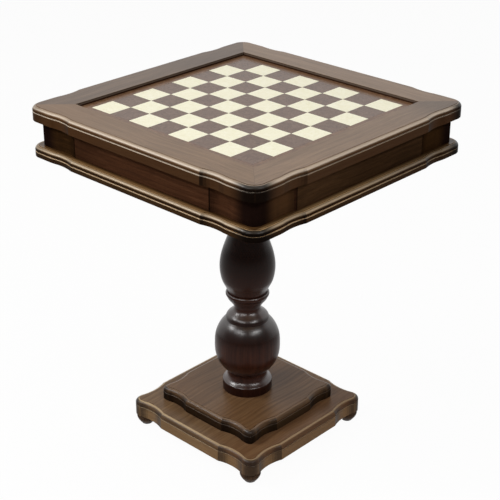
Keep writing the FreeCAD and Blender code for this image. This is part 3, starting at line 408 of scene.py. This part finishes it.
# Lower moulding: four mitred walnut rails with a rounded edge, a groove and an eased arris, the
# same section as the top, in the deeper stain of the apron box.
rail_half = 0.2905
lower_rail_top = 0.6175
# the glaze lays painted shade in the groove; the rub marks rubbed crests with a painted highlight
edge_glaze_and_shade = [(0, 0), (4.2, 0), (6.6, 0.75), (9.9, 0.75), (10.3, 0)]
edge_rub_and_highlight = [
    (0, 0), (0.8, 0.15), (2.4, 0.6), (3.4, 0.6), (4.8, 0),
    (9.6, 0), (10.1, 0.65), (11.2, 0.65), (11.8, 0),
]
# on the lower moulding the glaze also lays painted shade on the side band below
lower_glaze_and_shade = edge_glaze_and_shade + [(12.0, 0), (12.6, 0.5), (16.0, 0.5)]
lower_tones = ("#35210f", "#493018", "#5b4022")
for grain, ledge_highlight_tone, sides in (
    ("x", "#b98f5e", ("front", "back")),
    ("y", "#d6ad78", ("right", "left")),
):
    lower = stained_wood(
        "walnut of the lower moulding along " + grain, grain, lower_tones,
        roughness=0.32, gleam=0.3, side_gleam=0.01,
    )
    moulded_edge(lower, lower_rail_top, "#150d09", lower_glaze_and_shade, "#e2c8a4", edge_rub_and_highlight)
    # a painted highlight makes the ledge paler over the last centimetre before its edge, in a paler
    #     # tone on the side rails
    tree = lower.node_tree
    away = from_middle(tree)
    reach = add(tree, "ShaderNodeMath", {0: away["X"], 1: away["Y"]}, operation="MAXIMUM")
    ledge_highlight = add(
        tree, "ShaderNodeMapRange",
        {"Value": reach.outputs[0], "From Min": 0.275, "From Max": 0.286, "To Max": 0.75},
    )
    ledge = add(
        tree, "ShaderNodeMath", {0: turned_sides(tree)["Z"], 1: FLAT}, operation="GREATER_THAN"
    )
    ledge_highlight = add(
        tree, "ShaderNodeMath", {0: ledge_highlight.outputs[0], 1: ledge.outputs[0]}, operation="MULTIPLY"
    )
    lay_over(lower, ledge_highlight.outputs[0], ledge_highlight_tone)
    # the side rails are darker towards the back, a painted shade
    if grain == "y":
        shaded_in(lower, "Y", start=-0.12, full=0.2, code="#2e1c0d", strength=0.6)
    toned_and_shaded_corners(lower, "#0c0705", strength=0.95, half=rail_half, reach=0.062, left=0.4)
    wear(["lower_rail_" + side for side in sides], lower)

# Aprons: straight walnut boards set between the corner posts, the two at the sides fixed and the
# # two others the fronts of the drawers.  A deep red brown stain, with painted shade darkening each
# # board towards one end.
apron_lacquer = {"roughness": 0.42, "gleam": 0.1, "side_gleam": 0.0, "fibre": 0.35}
apron_tones = ("#3f271a", "#4a2e1e", "#553725")
side_apron_tones = ("#3b291b", "#46311f", "#513926")
apron_x = stained_wood(
    "walnut aprons, grain along the front", "x", apron_tones, **apron_lacquer
)
apron_y = stained_wood(
    "walnut aprons, grain along the sides", "y", side_apron_tones, **apron_lacquer
)
shaded_in(apron_x, "X", start=-0.05, full=-0.19, code="#140a05", strength=0.4)
shaded_in(apron_y, "Y", start=-0.12, full=0.02, code="#140a05", strength=0.3)
wear(["apron_right", "apron_left"], apron_y)

# Corner posts: four walnut posts shaped with a scoop on either side of a rounded corner and
# # dowelled between the rails.  Dark toner with painted shade lies on the scoops and corners.  A
# dark
# # line of glaze 1.5 mm wide lies in the joint with the apron, with painted shade beside it fading
# # out over 22 mm.  The front left and back right posts are painted darker as shade.
post_half = 0.2742
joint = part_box("apron_right")[1][1]
# darker tones of painted shade, for the front left and back right posts
shaded_post_tones = ("#301f11", "#392513", "#422c19")
for name, tones, side_face, posts in (
    ("walnut posts, red brown", apron_tones, "#543b24", ("post_front_right", "post_back_left")),
    ("walnut posts, deep brown in painted shade", shaded_post_tones, "#392513", ("post_back_right", "post_front_left")),
):
    post_wood = stained_wood(name, "round", tones, **apron_lacquer)
    tree = post_wood.node_tree
    face = add(
        tree, "ShaderNodeMath", {0: turned_sides(tree)["X"], 1: FLAT}, operation="GREATER_THAN"
    )
    share = add(tree, "ShaderNodeMath", {0: face.outputs[0], 1: 0.6}, operation="MULTIPLY")
    lay_over(post_wood, share.outputs[0], side_face)
    toned_and_shaded_corners(post_wood, "#180e0c", strength=0.95, half=post_half, reach=0.058, scoop=0.25)
    away = from_middle(tree)
    along = add(tree, "ShaderNodeMath", {0: away["X"], 1: away["Y"]}, operation="MINIMUM")
    for start, end, strength in ((joint, joint + 0.022, 0.45), (joint + 0.001, joint + 0.002, 0.85)):
        glaze_and_shade = add(
            tree, "ShaderNodeMapRange",
            {
                "Value": along.outputs[0], "From Min": start, "From Max": end,
                "To Min": strength, "To Max": 0.0,
            },
        )
        lay_over(post_wood, glaze_and_shade.outputs[0], "#120a06")
    wear(posts, post_wood)

# Drawers: boxes with a front of the same walnut as the aprons, beech sides and back, and a
# plywood bottom.  They slide on the guides, and the bare wood inside is pale.
drawer_beech = stained_wood(
    "beech of the drawer backs", "x", beech_tones,
    roughness=0.5, gleam=0.3, side_gleam=0.2, fibre=0.4, pore=0.3,
)
for drawer in ("front_drawer", "back_drawer"):
    wear([drawer + "_front"], apron_x)
    wear([drawer + "_side_right", drawer + "_side_left"], beech)
    wear([drawer + "_back"], drawer_beech)
    wear([drawer + "_bottom"], plywood)

# Top frame: four wide mitred walnut rails round the board, joined with splines, greyer and lighter
# # than the box under their satin lacquer.  The wall of the opening is painted dark, a painted shade
# # inside the recess, and the glue line of the mitre shows 0.6 mm wide.  The left rail is painted
# # darker as shade, and so are the back ends of the left and right rails.  The right rail's lower
# # crest takes less of the painted highlight.
frame_top = 0.695
opening_half = 0.224
top_tones = ("#6b543f", "#745c46", "#7e664f")
warm_tones = ("#68503a", "#715840", "#7b6249")
left_rail_shade_tones = ("#564433", "#5f4a38", "#685340")
# on the top frame the glaze also lays painted shade on the side band below
top_glaze_and_shade = edge_glaze_and_shade + [(11.6, 0), (12.2, 0.85), (16.0, 0.85)]
# the right rail's lower crest takes less of the painted highlight
dull_rub_and_highlight = edge_rub_and_highlight[:6] + [(10.1, 0.25), (11.2, 0.25), (11.8, 0)]
for side, grain, tones, rub_and_highlight, scoop in (
    ("front", "x", warm_tones, edge_rub_and_highlight, 0.85),
    ("right", "y", top_tones, dull_rub_and_highlight, 0.5),
    ("back", "x", top_tones, edge_rub_and_highlight, 0.85),
    ("left", "y", left_rail_shade_tones, edge_rub_and_highlight, 0.85),
):
    top = stained_wood(
        "walnut of the top frame, " + side, grain, tones,
        roughness=0.32, gleam=0.28, side_gleam=0.01, fibre=0.38,
    )
    # painted shade towards the back ends of the right and left rails; a warmer tone towards the left
    # end of the front rail
    if side == "right":
        shaded_in(top, "Y", start=0.13, full=0.26, code="#2a2019", strength=0.5)
    if side == "front":
        shaded_in(top, "X", start=0.0, full=-0.22, code="#6e5030", strength=0.6)
    if side == "left":
        shaded_in(top, "Y", start=-0.05, full=0.25, code="#3a2e24", strength=0.3)
    moulded_edge(top, frame_top, "#3b210d", top_glaze_and_shade, "#e3d2bd", rub_and_highlight)
    toned_and_shaded_corners(
        top, "#0c0705", strength=0.95, half=rail_half, reach=0.062, left=0.4, scoop=scoop
    )
    tree = top.node_tree
    away = from_middle(tree)
    reach = add(tree, "ShaderNodeMath", {0: away["X"], 1: away["Y"]}, operation="MAXIMUM")
    # painted shade on the wall of the opening
    wall = add(
        tree, "ShaderNodeMapRange",
        {
            "Value": reach.outputs[0], "From Min": opening_half - 0.0002,
            "From Max": opening_half + 0.0002, "To Min": 0.8, "To Max": 0.0,
        },
    )
    lay_over(top, wall.outputs[0], "#2a140b")
    gap = add(tree, "ShaderNodeMath", {0: away["X"], 1: away["Y"]}, operation="SUBTRACT")
    gap = add(tree, "ShaderNodeMath", {0: gap.outputs[0]}, operation="ABSOLUTE")
    line = add(
        tree, "ShaderNodeMapRange",
        {
            "Value": gap.outputs[0], "From Min": 0.0002, "From Max": 0.0006,
            "To Min": 0.5, "To Max": 0.0,
        },
    )
    lay_over(top, line.outputs[0], "#3a2618")
    wear(["top_rail_" + side], top)


# Board: squares of maple and walnut burl veneer in a walnut burl border, glued on a plywood core
# and polished under clear lacquer.  The maple is nearly plain, the burl clouded with dark eyes.
def burl(name, tones, eye, roughness, specular):
    """Burl veneer: clouded figure with small dark eyes under clear lacquer."""
    made, tree, shader = finish(name)
    place = add(tree, "ShaderNodeTexCoord").outputs["Object"]
    cloud_width = 0.012
    curl_width = 0.003
    eye_spacing = 0.006
    cloud = add(
        tree, "ShaderNodeTexNoise",
        {
            "Vector": place, "Scale": 1 / cloud_width, "Detail": 5.0, "Roughness": 0.65,
            "Distortion": 1.6,
        },
    )
    curl = add(
        tree, "ShaderNodeTexNoise",
        {"Vector": place, "Scale": 1 / curl_width, "Detail": 3.0, "Distortion": 0.8},
    )
    both = add(
        tree, "ShaderNodeMath",
        {0: curl.outputs[0], 1: 0.45, 2: cloud.outputs[0]}, operation="MULTIPLY_ADD",
    )
    shade = add(tree, "ShaderNodeValToRGB", {"Fac": both.outputs[0]})
    ramp = shade.color_ramp
    ramp.elements[0].position = 0.5
    ramp.elements[0].color = linear(tones[0])
    ramp.elements[1].position = 0.95
    ramp.elements[1].color = linear(tones[2])
    ramp.elements.new(0.72).color = linear(tones[1])
    spots = add(
        tree, "ShaderNodeTexVoronoi",
        {"Vector": place, "Scale": 1 / eye_spacing, "Randomness": 1.0},
    )
    pin = add(
        tree, "ShaderNodeMapRange",
        {
            "Value": spots.outputs[0], "From Min": 0.06, "From Max": 0.2,
            "To Min": 1.0, "To Max": 0.0,
        },
    )
    mixed = add(
        tree, "ShaderNodeMix",
        {0: pin.outputs[0], 6: shade.outputs[0], 7: linear(eye)}, data_type="RGBA",
    )
    tree.links.new(mixed.outputs[2], shader.inputs["Base Color"])
    shader.inputs["Roughness"].default_value = roughness
    shader.inputs["IOR"].default_value = 1.5
    shader.inputs["Specular IOR Level"].default_value = specular
    return made


maple = burl(
    "maple veneer", ("#e4debd", "#ebe6ca", "#f0ecd6"), eye="#ddd6b4", roughness=0.3, specular=0.3
)
walnut_burl = burl(
    "walnut burl veneer", ("#4e392d", "#604839", "#705748"), eye="#432f25",
    roughness=0.25, specular=0.3,
)
border_burl = burl(
    "walnut burl border", ("#553b27", "#684b35", "#7b5e46"), eye="#4a3121",
    roughness=0.3, specular=0.3,
)
wear(["light_squares"], maple)
wear(["dark_squares"], walnut_burl)
wear(["board_border"], border_burl)


# Floor and backdrop: a plain white floor in a white studio.  The camera sees both as white.  The
# lacquer mirrors a white wall behind the table, a dim room in front of it and a dim ceiling.
def seen_rays(tree):
    """1 for a ray that shows the floor or the world, straight or mirrored, and 0 for one that only
    carries light."""
    path = add(tree, "ShaderNodeLightPath").outputs
    seen = add(
        tree, "ShaderNodeMath",
        {0: path["Is Camera Ray"], 1: path["Is Glossy Ray"]}, operation="MAXIMUM",
    )
    return add(
        tree, "ShaderNodeMath",
        {0: seen.outputs[0], 1: path["Is Transmission Ray"]}, operation="MAXIMUM",
    ).outputs[0]


white_light = (1.0, 1.0, 1.0, 1.0)
white, tree, _ = finish("white floor")
# a little of the floor's own shading is kept, which leaves a faint shadow under the table
share = add(tree, "ShaderNodeMath", {0: seen_rays(tree), 1: 0.96}, operation="MULTIPLY")
glow = add(tree, "ShaderNodeEmission", {"Color": white_light, "Strength": 1.0})
matt = add(tree, "ShaderNodeBsdfDiffuse", {"Color": linear("#f4f4f2")})
both = add(
    tree, "ShaderNodeMixShader", {0: share.outputs[0], 1: matt.outputs[0], 2: glow.outputs[0]}
)
tree.links.new(both.outputs[0], tree.nodes["Material Output"].inputs["Surface"])
bpy.ops.mesh.primitive_plane_add(size=40)
floor = bpy.context.object
floor.name = "floor"
floor.data.materials.append(white)

dim_ceiling = 0.12
dim_room = 0.15
fill_light = 0.12
backdrop = (-0.68, 0.73, 0.0)
world = bpy.data.worlds.new("studio")
bpy.context.scene.world = world
world.use_nodes = True
tree = world.node_tree
heading = add(tree, "ShaderNodeTexCoord").outputs["Generated"]
up = add(tree, "ShaderNodeSeparateXYZ", {0: heading}).outputs["Z"]
# the walls end between 33 and 53 degrees above the horizon
wall = add(
    tree, "ShaderNodeMapRange",
    {"Value": up, "From Min": 0.55, "From Max": 0.8, "To Min": 1.0, "To Max": dim_ceiling},
)
behind = add(
    tree, "ShaderNodeVectorMath", {0: heading, 1: backdrop}, operation="DOT_PRODUCT"
).outputs["Value"]
room = add(
    tree, "ShaderNodeMapRange",
    {"Value": behind, "From Min": -0.1, "From Max": 0.3, "To Min": dim_room, "To Max": 1.0},
)
wall = add(tree, "ShaderNodeMath", {0: wall.outputs[0], 1: room.outputs[0]}, operation="MULTIPLY")
straight = add(tree, "ShaderNodeLightPath").outputs["Is Camera Ray"]
bare = add(tree, "ShaderNodeMath", {0: straight, 1: wall.outputs[0]}, operation="MAXIMUM")
strength = add(
    tree, "ShaderNodeMapRange",
    {"Value": seen_rays(tree), "To Min": fill_light, "To Max": bare.outputs[0]},
)
sky = tree.nodes["Background"]
sky.inputs["Color"].default_value = white_light
tree.links.new(strength.outputs[0], sky.inputs["Strength"])


# Lamps: a large softbox overhead, a smaller one at the left, and two narrow strips in front and at
# the right.  All are turned towards the middle of the table.
def softbox(name, place, width, height, power):
    """A rectangular studio softbox turned towards the middle of the table."""
    middle = Vector((0.0, 0.0, 0.45))
    lamp = bpy.data.lights.new(name, "AREA")
    lamp.shape = "RECTANGLE"
    lamp.size = width
    lamp.size_y = height
    lamp.energy = power
    made = bpy.data.objects.new(name, lamp)
    made.location = place
    made.rotation_euler = (middle - Vector(place)).to_track_quat("-Z", "Y").to_euler()
    bpy.context.scene.collection.objects.link(made)


softbox("overhead softbox", (-0.2, 0.3, 3.0), width=2.6, height=2.6, power=26)
softbox("left softbox", (-1.6, -1.5, 2.4), width=0.9, height=0.9, power=34)
softbox("front softbox", (0.15, -1.78, 2.0), width=1.4, height=0.3, power=14.5)
softbox("right softbox", (1.76, -0.15, 2.0), width=1.4, height=0.3, power=14.5)

# Camera: a long lens about 1.5 m above the floor, looking down on one corner of the table, so that
# two sides show about equally and the board is seen from above.
azimuth = math.radians(43.2235)
elevation = math.radians(25.8941)
roll = math.radians(0.1486)
distance = 2.327525
across = -0.004075
rise = 0.26596
board_level = 0.688635
focal_pixels = 1260.06
picture_pixels = 500
film_width = 36.0
right = Vector((math.cos(azimuth), math.sin(azimuth), 0.0))
forward = Vector((-math.sin(azimuth), math.cos(azimuth), 0.0))
back = Vector((0.0, 0.0, math.sin(elevation))) - forward * math.cos(elevation)
up = back.cross(right)
turned_right = right * math.cos(roll) + up * math.sin(roll)
turned_up = up * math.cos(roll) - right * math.sin(roll)
place = Vector((0.0, 0.0, board_level)) + back * distance - turned_right * across - turned_up * rise
turn = Matrix((turned_right, turned_up, back)).transposed().to_4x4()
lens = bpy.data.cameras.new("camera")
lens.sensor_width = film_width
lens.lens = focal_pixels / picture_pixels * film_width
camera = bpy.data.objects.new("camera", lens)
camera.matrix_world = Matrix.Translation(place) @ turn
bpy.context.scene.collection.objects.link(camera)
bpy.context.scene.camera = camera
bpy.context.scene.view_settings.view_transform = "Standard"
